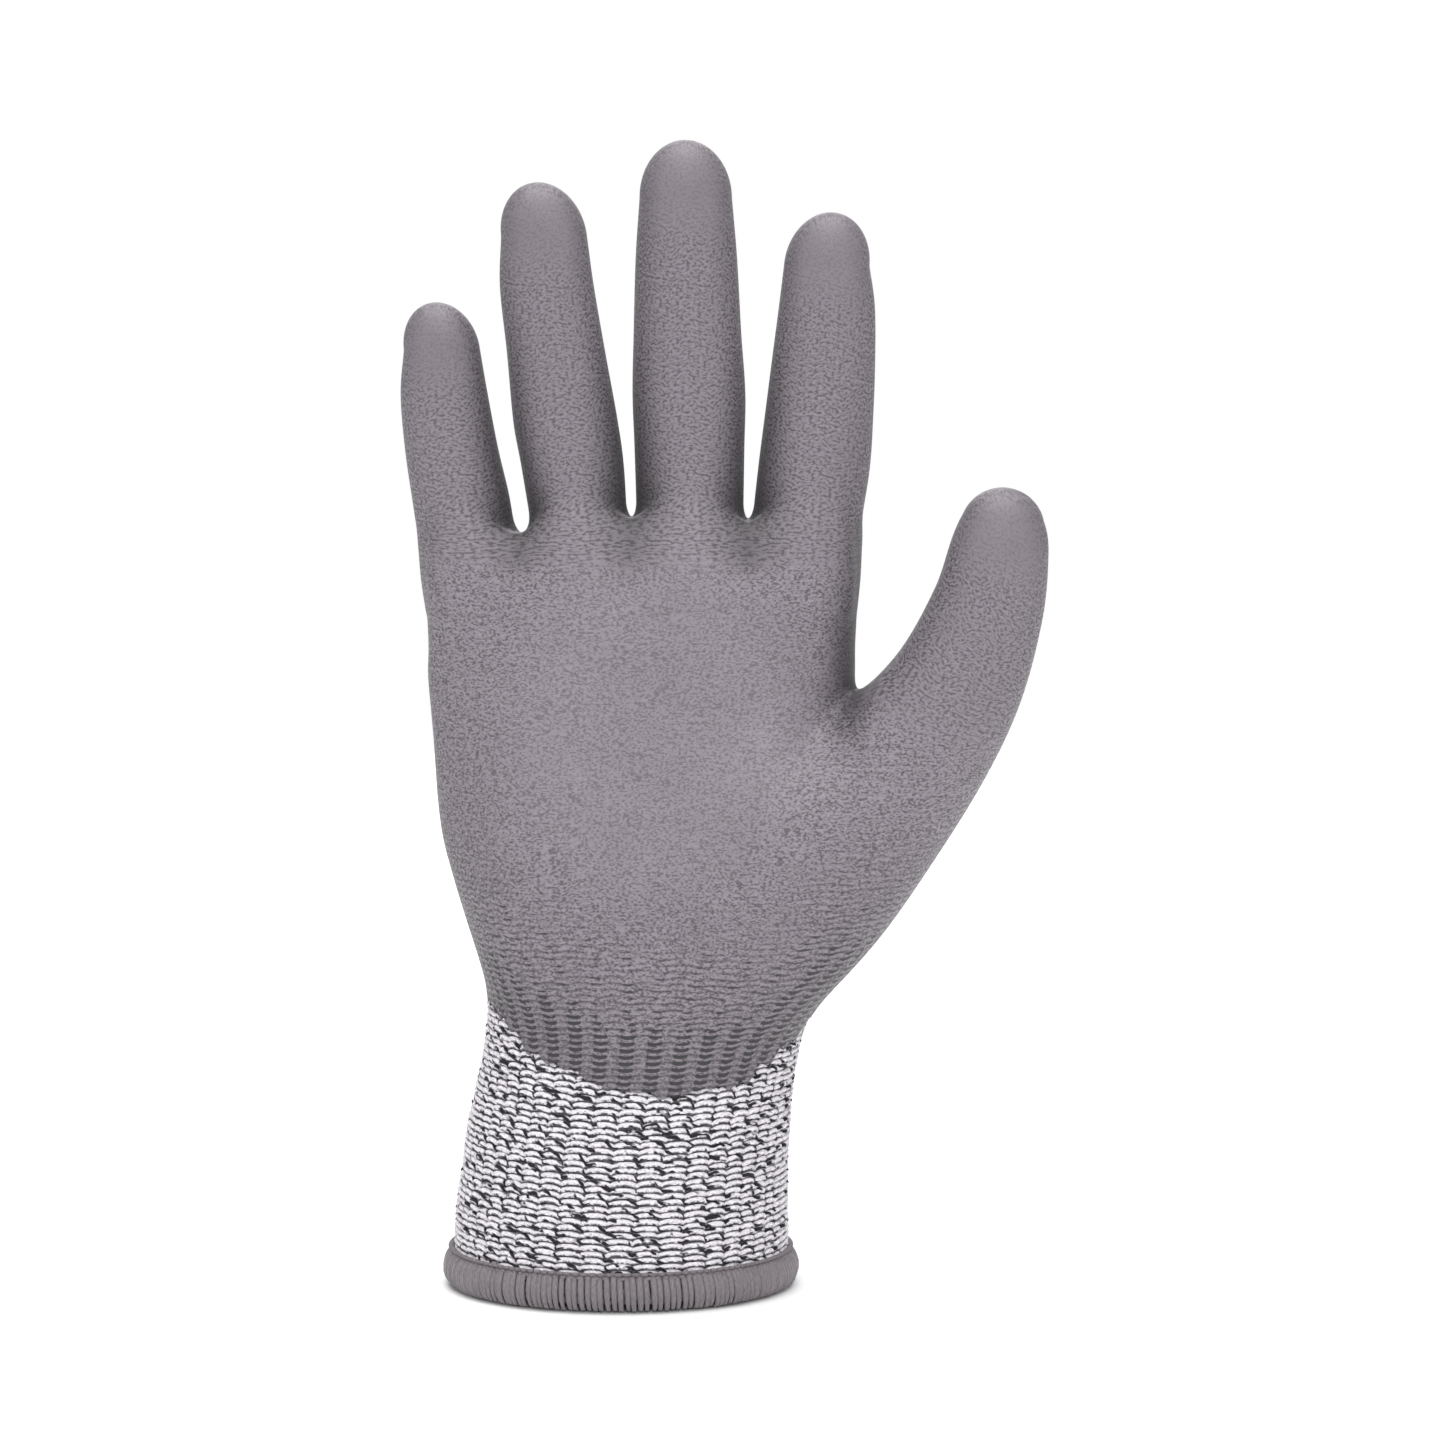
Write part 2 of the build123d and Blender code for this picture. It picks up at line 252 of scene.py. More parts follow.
def surface(cell):
    """Quads over the hand's surface, on a grid of that cell size."""
    low, high = np.array([-56.0, -36.0, -6.0]), np.array([100.0, 36.0, 256.0])
    n = np.ceil((high - low) / cell).astype(int) + 1
    axes = [low[i] + cell * np.arange(n[i]) for i in range(3)]
    field = np.empty(n)
    yy, zz = np.meshgrid(axes[1], axes[2], indexing="ij")
    for i, x in enumerate(axes[0]):
        points = np.stack([np.full(yy.size, x), yy.ravel(), zz.ravel()], 1)
        field[i] = hand(points).reshape(yy.shape)
    count = np.zeros(n - 1)
    place = np.zeros((*(n - 1), 3))
    corners = [(i, j, k) for i in (0, 1) for j in (0, 1) for k in (0, 1)]
    cut = lambda c: field[tuple(slice(o, o + m - 1) for o, m in zip(c, n))]
    for c in corners:
        for axis in range(3):
            if c[axis]:
                continue
            e = list(c)
            e[axis] = 1
            a, b = cut(c), cut(e)
            hit = (a < 0) != (b < 0)
            t = np.where(hit, a / np.where(hit, a - b, 1), 0)
            count += hit
            for i in range(3):
                place[..., i] += hit * (t if i == axis else c[i])
    live = count > 0
    index = np.full(count.shape, -1)
    index[live] = np.arange(live.sum())
    where = np.argwhere(live)
    points = low + cell * (where + place[live] / count[live][:, None])
    quads = []
    for axis in range(3):
        a = field[tuple(slice(0, -1) if i == axis else slice(1, -1) for i in range(3))]
        b = field[tuple(slice(1, None) if i == axis else slice(1, -1) for i in range(3))]
        hit = np.argwhere((a < 0) != (b < 0))
        inside = (a < 0)[tuple(hit.T)]
        u, v = [i for i in range(3) if i != axis]
        base = hit.copy()
        base[:, u] += 1
        base[:, v] += 1
        ring = []
        for du, dv in ((0, 0), (-1, 0), (-1, -1), (0, -1)):
            c = base.copy()
            c[:, u] += du
            c[:, v] += dv
            ring.append(index[tuple(c.T)])
        ring = np.stack(ring, 1)
        turn = inside if axis != 1 else ~inside
        ring[~turn] = ring[~turn][:, ::-1]
        quads.append(ring)
    quads = np.concatenate(quads)
    return points, quads[(quads >= 0).all(1)]


def relax(points, quads, rounds):
    """Evens the quads out along the surface."""
    a, b = quads.ravel(), np.roll(quads, -1, 1).ravel()
    weight = np.bincount(a, minlength=len(points)) + np.bincount(b, minlength=len(points))
    for _ in range(rounds):
        mean = np.zeros_like(points)
        for i in range(3):
            mean[:, i] = np.bincount(a, points[b, i], len(points)) + np.bincount(b, points[a, i], len(points))
        points = settle(mean / np.maximum(weight, 1)[:, None], rounds=1)
    return settle(points, rounds=2)


def refine(points, quads):
    """Splits each quad in four and settles the new points."""
    a, b = quads, np.roll(quads, -1, 1)
    key = np.minimum(a, b).astype(np.int64) * len(points) + np.maximum(a, b)
    edges, where = np.unique(key.ravel(), return_inverse=True)
    where = where.reshape(quads.shape)
    mids = (points[edges // len(points)] + points[edges % len(points)]) / 2
    centres = points[quads].mean(1)
    n, m = len(points), len(points) + len(edges)
    c = m + np.arange(len(quads))
    new = [
        np.stack([quads[:, i], n + where[:, i], c, n + where[:, i - 1]], 1) for i in range(4)
    ]
    return settle(np.concatenate([points, mids, centres]), rounds=2), np.concatenate(new)


# ---------------------------------------------------------------- knit coordinates and the dip

COURSE = 1.4  # height of one row of stitches
WALES = {"torso": 48, "little": 16, "ring": 18, "middle": 20, "index": 20, "thumb": 20}
WAVES = {"little": 6, "ring": 7, "middle": 8, "index": 8, "thumb": 8}  # ripples of a row round a digit
TUBES = ("torso", *DIGITS, "thumb")
SPLIT = 161.0  # the level where the palm's stitches end and the fingers' begin
WHOLE_TURN = np.linspace(-math.pi, math.pi, 721)
THUMB_ROOT = np.array([67.5, -10.0, 122.8])
THUMB_WAY = np.array([0.36, -0.1, 0.92])
THUMB_WAY = THUMB_WAY / np.linalg.norm(THUMB_WAY)
THUMB_SIDE = np.cross([0, 1, 0], THUMB_WAY)
THUMB_SIDE = THUMB_SIDE / np.linalg.norm(THUMB_SIDE)
THUMB_BASE = 121.0  # the thumb's own course height at its root
FINGER_BASE = 166.0
FINGER_START = {}
FINGER_WAY = {}
for name in DIGITS:
    line = FINGERS[name]
    start = np.array([np.interp(FINGER_BASE, line[:, 1], line[:, 0]), 1.0, FINGER_BASE])
    way = np.array([line[-1, 0], np.interp(line[-1, 1], *FINGER_Y[name]), line[-1, 1]]) - start
    FINGER_START[name] = start
    FINGER_WAY[name] = way / np.linalg.norm(way)

ARCS = []
for ratio in np.linspace(0.2, 0.8, 13):
    t = np.linspace(-math.pi, math.pi, 361)
    d = np.hypot(np.sin(t), ratio * np.cos(t))
    length = np.concatenate([[0], np.cumsum((d[1:] + d[:-1]) / 2)])
    ARCS.append(length / length[-1] - 0.5)
ARCS = np.array(ARCS)


def share_round(turn, ratio):
    """Share of an ellipse's length, from the middle of the palm side, at a given turn."""
    i = np.clip((ratio - 0.2) / 0.05, 0, 11.999)
    j = np.clip((turn + math.pi) / (2 * math.pi) * 360, 0, 359.999)
    i0, j0 = i.astype(int), j.astype(int)
    fi, fj = i - i0, j - j0
    low = ARCS[i0, j0] * (1 - fj) + ARCS[i0, j0 + 1] * fj
    high = ARCS[i0 + 1, j0] * (1 - fj) + ARCS[i0 + 1, j0 + 1] * fj
    return low * (1 - fi) + high * fi


def turn_of(share, ratio):
    """The turn at which that share of the ellipse's length is reached."""
    return np.interp(share, share_round(WHOLE_TURN, np.full(len(WHOLE_TURN), ratio)), WHOLE_TURN)


def up_thumb(p):
    """Millimetres along the thumb from its root."""
    return (p - THUMB_ROOT) @ THUMB_WAY


def up_finger(p, name):
    return FINGER_BASE + (p - FINGER_START[name]) @ FINGER_WAY[name]


def thumb_gap(p):
    """How much nearer each point is to the palm's tube than to the thumb's, in millimetres."""
    gap = np.full(len(p), 60.0)
    near = (up_thumb(p) > -14) & (p[:, 0] > 36) & (p[:, 2] < 190)
    gap[near] = thumb_field(p[near]) - 1.0 - torso_field(p[near])
    return gap


def owner(p):
    """Which of TUBES each point lies on."""
    fingers = np.stack([finger_field(p, name) for name in DIGITS])
    who = np.where(p[:, 2] < SPLIT, 0, 1 + np.argmin(fingers, 0))
    outer = np.where(who == 0, torso_field(p), fingers.min(0))
    thumb = np.full(len(p), 60.0)
    near = (up_thumb(p) > 0) & (p[:, 0] > 40) & (p[:, 2] < 190)
    thumb[near] = thumb_field(p[near]) - 1.0
    return np.where(thumb < outer, 5, who)


def knit(p, tube):
    """Wale and course, counted in stitches, of points on one of TUBES."""
    if tube in DIGITS:
        s, line = up_finger(p, tube), FINGERS[tube]
        w = step((p[:, 2] - 158) / 14)
        cx = np.interp(p[:, 2], line[:, 1], line[:, 0])
        cy = np.interp(p[:, 2], *FINGER_Y[tube])
        share = np.arctan2(p[:, 0] - cx, (cy - p[:, 1]) / FLAT) / (2 * math.pi)
        v = p[:, 2] * (1 - w) + s * w
        wave = step((p[:, 2] - 166) / 12)
    else:
        s = THUMB_BASE + up_thumb(p)
        outside = torso_field(p)
        w = step((s - 112) / 16) * step((outside - 3) / 9) * (p[:, 0] > 40) * (p[:, 2] < 185)
        v = p[:, 2] * (1 - w) + s * w
        wave = step((s - 123) / 12)
        if tube == "thumb":
            cx, cy = [np.interp(p[:, 2], THUMB[:, 2], THUMB[:, k]) for k in (0, 1)]
            across = (p[:, 0] - cx) * THUMB_SIDE[0] + (p[:, 1] - cy) * THUMB_SIDE[1]
            share = np.arctan2(across, cy - p[:, 1]) / (2 * math.pi)
        else:
            x0, a, b, _ = torso_at(p[:, 2])
            share = share_round(np.arctan2((p[:, 0] - x0) / a, -p[:, 1] / b), b / a)
    ripple = 0.0 if tube == "torso" else 0.3 * wave * np.cos(2 * math.pi * WAVES[tube] * share)
    return share * WALES[tube], v / COURSE - ripple


def corner_uv(points, faces, who):
    """Knit coordinates at the corners of faces, each worked out on the face's own tube."""
    uv = np.empty((*faces.shape, 2))
    for i, tube in enumerate(TUBES):
        mine = who == i
        if not mine.any():
            continue
        used, flat = np.unique(faces[mine], return_inverse=True)
        u, v = knit(points[used], tube)
        u, v = u[flat].reshape(-1, faces.shape[1]), v[flat].reshape(-1, faces.shape[1])
        wide = u.max(1) - u.min(1) > WALES[tube] / 2
        u = np.where(wide[:, None] & (u < 0), u + WALES[tube], u)
        uv[mine] = np.stack([u, v], -1)
    return uv


def rib_strength(p):
    """How clearly the wales show, fading out where the stitches of two tubes meet."""
    strength = np.where(thumb_gap(p) < 55, step(np.abs(thumb_gap(p)) / 7), 1.0)
    s = up_thumb(p)
    on_thumb = (thumb_gap(p) < 3) & (s < 20)
    strength = np.where(on_thumb, np.minimum(strength, step(np.abs(s) / 7)), strength)
    return strength * step(np.abs(p[:, 2] - SPLIT) / 8)


# The coating paints shade with this: the deeper a point lies between two digits, the darker its film.
def cleft(p):
    """How deep each point lies between two fingers, or in the fork of the index finger and the thumb."""
    fingers = np.sort(np.stack([finger_field(p, name) for name in DIGITS]), 0)
    deep = np.clip(1 + 0.14 * step((182 - p[:, 2]) / 12) - fingers[1] / 15, 0, 1)
    deep *= step((p[:, 2] - 153) / 10) * (1 - 0.7 * step((p[:, 2] - 178) / 46))
    fork = np.linalg.norm((p - (54.0, -4.0, 138.0)) / (12.0, 17.0, 36.0), axis=1)
    fork = np.clip(1.2 - fork, 0, 1) * step((57 - p[:, 0]) / 7) * (p[:, 2] < 200)
    return np.maximum(deep, fork)


# The coating's edge over the heel of the hand
EDGE_X = np.array([-60, -36, -30, -26.2, -19.5, -11.3, -0.7, 11.7, 27.3, 36, 42.2, 48, 80])
EDGE_Z = np.array([70, 68, 65.5, 62.0, 55.5, 52.0, 48.3, 47.0, 49.2, 55.5, 62.3, 66, 70])


# How far behind the middle of the palm, a finger and the thumb the coating reaches
PALM_REACH, FINGER_REACH, THUMB_REACH = 2.5, 3.2, 4.5
TIP_COVER = 7.5  # it closes over a finger's back this far below the centre of the rounded end
THUMB_BARE = 37.5  # and over the thumb's back this far above its root
THUMBTIP_X = 81.5  # the middle of the thumb, seen from behind, near its end
NEAR_THUMB = 9.0  # the thumb's edge holds within this distance of the thumb
CORNER = 10.0  # rounding where the heel's edge meets the side's edge


def heel(p):
    """Millimetres above the coating's lower edge, which follows the stitches it ran into."""
    x0, a, b, _ = torso_at(p[:, 2])
    share = share_round(np.arctan2((p[:, 0] - x0) / a, -p[:, 1] / b), b / a)
    stitch = 0.55 * np.cos(2 * math.pi * WALES["torso"] * share)
    ragged = 0.5 * np.sin(0.83 * p[:, 0] + 2.0 * np.sin(0.37 * p[:, 0]))
    return (p[:, 2] - np.interp(p[:, 0], EDGE_X, EDGE_Z)) * 0.85 + stitch + ragged


def dip(p):
    """Millimetres inside the coating's edge, negative where the knit is bare."""
    who = owner(p)
    back = PALM_REACH - p[:, 1] + 1.5 * step((p[:, 2] - 150) / 16)
    for i, name in enumerate(DIGITS):
        m = who == i + 1
        q = p[m]
        cy, tip = np.interp(q[:, 2], *FINGER_Y[name]), FINGERS[name][-1]
        w = step((q[:, 2] - 160) / 12)
        rise = np.maximum(q[:, 2] - tip[1] + TIP_COVER + 0.07 * (q[:, 0] - tip[0]) ** 2, 0) * 1.1
        back[m] = back[m] * (1 - w) + (cy + FINGER_REACH + rise - q[:, 1]) * w
    m = (p[:, 0] > 36) & (p[:, 2] < 190)
    m[m] = thumb_field(p[m]) < NEAR_THUMB
    cy = np.interp(p[m, 2], THUMB[:, 2], THUMB[:, 1])
    w = step((p[m, 0] - 36) / 16) * step((torso_field(p[m]) - 0.5) / 5) * (who[m] != 4)
    rise = np.maximum(up_thumb(p[m]) - THUMB_BARE + 0.05 * (p[m, 0] - THUMBTIP_X) ** 2, 0) * 1.1
    back[m] = back[m] * (1 - w) + (cy + THUMB_REACH + rise - p[m, 1]) * w
    ragged = 0.35 * np.cos(2 * math.pi * p[:, 2] / COURSE)
    ragged += 0.5 * np.sin(0.7 * p[:, 2] + 1.6 * np.sin(0.31 * p[:, 2]))
    ragged += 0.5 * np.sin(1.7 * p[:, 0] + 1.4 * np.sin(0.8 * p[:, 0]))
    return smooth_min(heel(p), back + ragged, CORNER)


# ---------------------------------------------------------------- making pieces


def make_mesh(name, points, faces, uv, material, values=None, normals=None):
    """A smooth mesh object from millimetre points, quads and the knit coordinates of its corners."""
    mesh = bpy.data.meshes.new(name)
    mesh.vertices.add(len(points))
    mesh.vertices.foreach_set("co", (np.asarray(points) * 0.001).ravel().astype(np.float32))
    mesh.loops.add(faces.size)
    mesh.loops.foreach_set("vertex_index", faces.ravel().astype(np.int32))
    mesh.polygons.add(len(faces))
    mesh.polygons.foreach_set("loop_start", np.arange(0, faces.size, faces.shape[1], dtype=np.int32))
    mesh.polygons.foreach_set("use_smooth", np.ones(len(faces), bool))
    mesh.update(calc_edges=True)
    mesh.uv_layers.new(name="knit").data.foreach_set("uv", uv.reshape(-1).astype(np.float32))
    for key, value in (values or {}).items():
        mesh.attributes.new(key, "FLOAT", "POINT").data.foreach_set("value", value.astype(np.float32))
    mesh.materials.append(material)
    if normals is not None:
        mesh.normals_split_custom_set_from_vertices(normals.astype(np.float32))
    obj = bpy.data.objects.new(name, mesh)
    bpy.context.scene.collection.objects.link(obj)
    return obj


def pick(faces, keep):
    """The kept faces, renumbered, and which points they use."""
    faces = faces[keep]
    used, flat = np.unique(faces.ravel(), return_inverse=True)
    return flat.reshape(faces.shape), used


# Where each piece of fabric starts and ends along its tube, and the two bodies on either side of it
LOW_PALM = 92.0
BLENDS = {
    "heel": ("cuff", "palm", (0, 0, 34), (0, 0, 62)),
    "palm": ("palm", "knuckles", (0, 0, 131), (0, 0, 157)),
}
CUTS = {}
for name in DIGITS:
    folds = [joints[f"{name}_{k}_fold"]["pos_m"][2] * 1000 for k in ("root", "middle", "tip")]
    first = folds[0] + (folds[1] - folds[0]) * 0.6
    second = (folds[1] + folds[2]) / 2
    CUTS[name] = (first, second)
    at = lambda z: tuple(FINGER_START[name] + FINGER_WAY[name] * (z - FINGER_BASE))
    BLENDS[name + "_root"] = ("knuckles", name + "_root", (0, 0, 165.5), (0, 0, first - 0.5))
    BLENDS[name + "_middle"] = (name + "_root", name + "_middle", at(first + 0.5), at(second - 0.5))
    BLENDS[name + "_tip"] = (name + "_middle", name + "_tip", at(second + 0.5), at(folds[2] * 2 - second))
at = lambda s: tuple(THUMB_ROOT + THUMB_WAY * s)
THUMB_CUT = 18.0
BLENDS["thumb_root"] = ("palm", "thumb_root", at(3), at(THUMB_CUT - 0.5))
BLENDS["thumb_tip"] = ("thumb_root", "thumb_tip", at(THUMB_CUT + 0.5), at(38))
CUTS["thumb"] = (THUMB_BASE + THUMB_CUT,)
SEGMENTS = list(BLENDS)
STANDS_FOR = {where: [where] for where in SEGMENTS}
STANDS_FOR["heel"] = ["palm", "thumb_base"]
STANDS_FOR["palm"] = ["knuckle", "palm", "thumb_base"]


def segment(p, who):
    """Which piece of fabric each point belongs to, as a place in SEGMENTS."""
    seg = np.where(p[:, 2] < LOW_PALM, 0, 1)
    for i, name in enumerate(DIGITS):
        s = up_finger(p, name)
        k = SEGMENTS.index(name + "_root") + (s > CUTS[name][0]) + (s > CUTS[name][1])
        seg = np.where(who == i + 1, k, seg)
    return np.where(who == 5, SEGMENTS.index("thumb_root") + (up_thumb(p) > THUMB_CUT), seg)


def dress(obj, where, slot, *nodes):
    """Fixes a piece's placement into its points and hides these CAD nodes, which it stands for."""
    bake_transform(obj)
    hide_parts(*nodes)


class Value:
    """A value in a material's nodes, which arithmetic extends."""

    def __init__(self, nodes, socket):
        self.nodes, self.socket = nodes, socket

    def math(self, kind, *others):
        node = self.nodes.new("ShaderNodeMath")
        node.operation = kind
        for slot, value in zip(node.inputs, (self, *others)):
            if isinstance(value, Value):
                self.nodes.id_data.links.new(value.socket, slot)
            else:
                slot.default_value = value
        return Value(self.nodes, node.outputs[0])

    def __add__(self, other):
        return self.math("ADD", other)

    def __sub__(self, other):
        return self.math("SUBTRACT", other)

    def __mul__(self, other):
        return self.math("MULTIPLY", other)

    def __rsub__(self, other):
        return (self * -1).math("ADD", other)

    def power(self, other):
        return self.math("MAXIMUM", 0.0).math("POWER", other)

    def wave(self):
        return (self * (2 * math.pi)).math("COSINE")

    def most(self, other):
        return self.math("MAXIMUM", other)

    def least(self, other):
        return self.math("MINIMUM", other)

    def ramp(self, low, high):
        node = self.nodes.new("ShaderNodeMapRange")
        node.interpolation_type = "SMOOTHSTEP"
        self.nodes.id_data.links.new(self.socket, node.inputs["Value"])
        node.inputs["From Min"].default_value = low
        node.inputs["From Max"].default_value = high
        return Value(self.nodes, node.outputs["Result"])


class Finish:
    """A material being made: its shader, its coordinates and its noises."""

    def __init__(self, name, roughness, sheen=0.0, specular=0.35):
        self.material = bpy.data.materials.new(name)
        self.material.use_nodes = True
        tree = self.material.node_tree
        self.nodes, self.link = tree.nodes, tree.links.new
        self.shader = self.nodes["Principled BSDF"]
        self.shader.inputs["Roughness"].default_value = roughness
        self.shader.inputs["Sheen Weight"].default_value = sheen
        self.shader.inputs["Sheen Roughness"].default_value = 0.5
        self.shader.inputs["Specular IOR Level"].default_value = specular

    def knit(self):
        node = self.nodes.new("ShaderNodeUVMap")
        node.uv_map = "knit"
        split = self.nodes.new("ShaderNodeSeparateXYZ")
        self.link(node.outputs[0], split.inputs[0])
        return Value(self.nodes, split.outputs[0]), Value(self.nodes, split.outputs[1])

    def value(self, name):
        node = self.nodes.new("ShaderNodeAttribute")
        node.attribute_name = name
        return Value(self.nodes, node.outputs["Fac"])

    def noise(self, scale, detail=2.0, where=None, rise=1.0):
        """Noise over the object, in 1/m and rise times as fine upwards, or over a pair of values."""
        node = self.nodes.new("ShaderNodeTexNoise")
        node.inputs["Scale"].default_value = scale
        node.inputs["Detail"].default_value = detail
        if where is None:
            place = self.nodes.new("ShaderNodeTexCoord")
            squeeze = self.nodes.new("ShaderNodeMapping")
            squeeze.inputs["Scale"].default_value[2] = rise
            self.link(place.outputs["Object"], squeeze.inputs["Vector"])
            self.link(squeeze.outputs[0], node.inputs["Vector"])
        else:
            join = self.nodes.new("ShaderNodeCombineXYZ")
            for slot, value in zip(join.inputs, where):
                self.link(value.socket, slot)
            self.link(join.outputs[0], node.inputs["Vector"])
        return Value(self.nodes, node.outputs[0])

    def mix(self, amount, a, b):
        node = self.nodes.new("ShaderNodeMix")
        node.data_type = "RGBA"
        self.link(amount.socket, node.inputs[0])
        for slot, colour in ((node.inputs[6], a), (node.inputs[7], b)):
            if isinstance(colour, tuple):
                slot.default_value = (*colour, 1)
            else:
                self.link(colour, slot)
        return node.outputs[2]

    def done(self, colour, height, depth):
        """Links the colour and a bump whose height of 1 is depth millimetres."""
        bump = self.nodes.new("ShaderNodeBump")
        bump.inputs["Distance"].default_value = depth * 0.001
        bump.inputs["Strength"].default_value = 1.0
        self.link(height.socket, bump.inputs["Height"])
        self.link(bump.outputs[0], self.shader.inputs["Normal"])
        self.link(colour, self.shader.inputs["Base Color"])
        return self.material


def coating_finish():
    """Matt grey polyurethane, thick and smooth in the palm, thin enough at its edges to show the knit, with
    painted shade between the digits and toward the sides that turn away from the palm's front, and painted
    shade in its sunk dashes and painted highlight on its raised ones.
    """
    f = Finish("polyurethane coating", 0.5, 0.1, 0.45)
    u, v = f.knit()
    thin, heel_up, rib, deep = f.value("thin"), f.value("heel"), f.value("rib"), f.value("cleft")
    rough, tip = 1.0 - f.value("smooth"), f.value("tip")
    patch, drift = f.noise(70.0), f.noise(150.0, 1.0)
    # short level dashes, where the film sank between yarns
    digit = f.value("digit")
    dash = f.noise(1.0, 2.0, (u * 4.6, v * 2.7)) * digit + f.noise(1500.0, 2.0, None, 1.7) * (1.0 - digit)
    pore = f.noise(1.0, 2.0, (u * 3.1, v * 1.5))
    grain = f.noise(1300.0, 2.0)
    # rows of stitches
    arc = u.wave() * rib
    row = (v - arc * 0.16 + (drift - 0.5) * 0.5).wave() * 0.5 + 0.5
    gap = (1.0 - row).power(2.2)
    low, near = heel_up.ramp(38.0, 10.0), heel_up.ramp(19.0, 2.0)
    # grows as the surface turns away from the palm's front: the film is thinner there, and the row lines and
    # dark specks it brings also paint shade on those sides
    thin_film_and_side_shade = thin.ramp(0.12, 0.62)
    rows = (low * 0.8 + thin_film_and_side_shade * 0.4 + rough * patch.ramp(0.35, 0.65) * 0.3).least(1.0)
    # open holes between the wales just above the lower edge, and pinholes above them
    between = (1.0 - arc) * 0.5 * rib
    open_hole = (near * 1.4 + pore * 2.2 - 1.45).ramp(0.1, 0.45)
    hole = ((1.0 - row).power(1.1) * between.ramp(0.25, 0.62) * open_hole).ramp(0.22, 0.55)
    pin = (gap * between.ramp(0.6, 0.9) * pore.ramp(0.52, 0.58) * low).ramp(0.15, 0.5)
    # dark specks of knit through thin film; the ones added deep between the fingers are painted shade
    speck = dash.ramp(0.5, 0.58) * (thin_film_and_side_shade * 0.8 + deep * 1.2 + near * 0.4 + digit * 0.12).least(1.0)
    line = gap * pore.ramp(0.32, 0.54) * rows * 0.85
    # the deepest points between the fingers go nearly black: painted shade
    dark = (hole * 0.98).most(pin * 0.95).most(speck * 0.75).most(line).most(deep.power(5.0) * 0.95)
    body = f.mix(patch.ramp(0.3, 0.7), (0.208, 0.185, 0.211), (0.231, 0.206, 0.234))
    # darker where the film sank between yarns: grain of the film, and painted shade in these small hollows
    sunk_grain_and_shade = dash.ramp(0.46, 0.62) * (rough * 0.8 + 0.35).least(1.0)
    body = f.mix(sunk_grain_and_shade, body, (0.085, 0.076, 0.086))
    # lighter where the film stands up: painted highlight on the raised dashes
    body = f.mix(dash.ramp(0.42, 0.3) * rough * 0.35, body, (0.3, 0.272, 0.3))
    body = f.mix((near * 0.35 + digit * 0.2 + tip * 0.3).least(1.0), body, (0.13, 0.116, 0.131))
    # darker the deeper between the fingers and in the thumb's fork: painted shade
    body = f.mix(deep.ramp(0.0, 0.8) * 0.85, body, (0.06, 0.054, 0.061))
    colour = f.mix(dark, body, (0.02, 0.018, 0.021))
    height = row.power(0.7) * rows * 0.6 - dash * (rough * 1.1 + 0.3) + grain * 0.15 - hole
    return f.done(colour, height, 0.2)


def yarn_finish():
    """White yarn with one dark ply, which comes up as flecks, more of them where the yarn dives between the
    wales, there partly as painted shade, and painted shade along each yarn's lower side.
    """
    f = Finish("marl yarn", 0.85, 0.08, 0.2)
    along, around = f.knit()
    dive = f.value("dive")
    slow = f.noise(1.0, 2.0, (along * 0.16, around * 0.0))
    turn = around - along * 0.17 + slow * 2.4
    ply = turn.wave()
    often = f.noise(1.0, 2.0, (along * 0.33, around * 0.3))
    # more dark flecks where the yarn dives between the wales: the dark ply, and painted shade in these dips
    dark = ply.ramp(0.4, 0.75) * (often + dive * 0.22).ramp(0.48, 0.56)
    # painted shade along each yarn's lower side, broken into patches by a noise
    underside_shade = (around - 0.2).wave().ramp(0.35, 0.9)
    thread = f.noise(1.0, 2.0, (along * 0.55 + 31.0, around * 0.4)).ramp(0.44, 0.53)
    dark = dark.most(underside_shade * thread * 0.9)
    fibre = f.noise(1.0, 3.0, (along * 1.6 - around * 4.0, around * 16.0))
    light = f.mix(fibre.ramp(0.3, 0.7), (0.48, 0.46, 0.49), (0.87, 0.84, 0.88))
    colour = f.mix(dark, light, (0.016, 0.014, 0.018))
    return f.done(colour, fibre * 0.6 + turn.wave().math("ABSOLUTE") * 0.4, 0.12)


def inside_finish():
    """The liner's inner face."""
    f = Finish("liner inside", 0.9)
    u, v = f.knit()
    row = (v - u.wave() * 0.2).wave() * 0.5 + 0.5
    fleck = f.noise(900.0, 2.0).ramp(0.5, 0.62)
    colour = f.mix(fleck * 0.8, (0.42, 0.42, 0.44), (0.05, 0.05, 0.055))
    return f.done(colour, row, 0.3)


def thread_finish():
    """Grey textured thread of the hem."""
    f = Finish("overlock thread", 0.6, 0.2)
    along, around = f.knit()
    fibre = f.noise(1.0, 3.0, (along * 1.2 - around * 3.0, around * 18.0))
    colour = f.mix(fibre.ramp(0.3, 0.7), (0.12, 0.106, 0.117), (0.215, 0.19, 0.206))
    return f.done(colour, fibre, 0.08)


coating_m, yarn_m, inside_m, thread_m = coating_finish(), yarn_finish(), inside_finish(), thread_finish()

# ---------------------------------------------------------------- coating and inside of the liner


def normal_of(p):
    n = slope(p)
    return n / np.linalg.norm(n, axis=1)[:, None]


INSIDE = 1.35  # depth of the liner's inner face under the glove's outer face
FILM = 0.12  # height of the coating's outer face over it
FILM_EDGE = 0.55  # how deep the coating's cut edge reaches

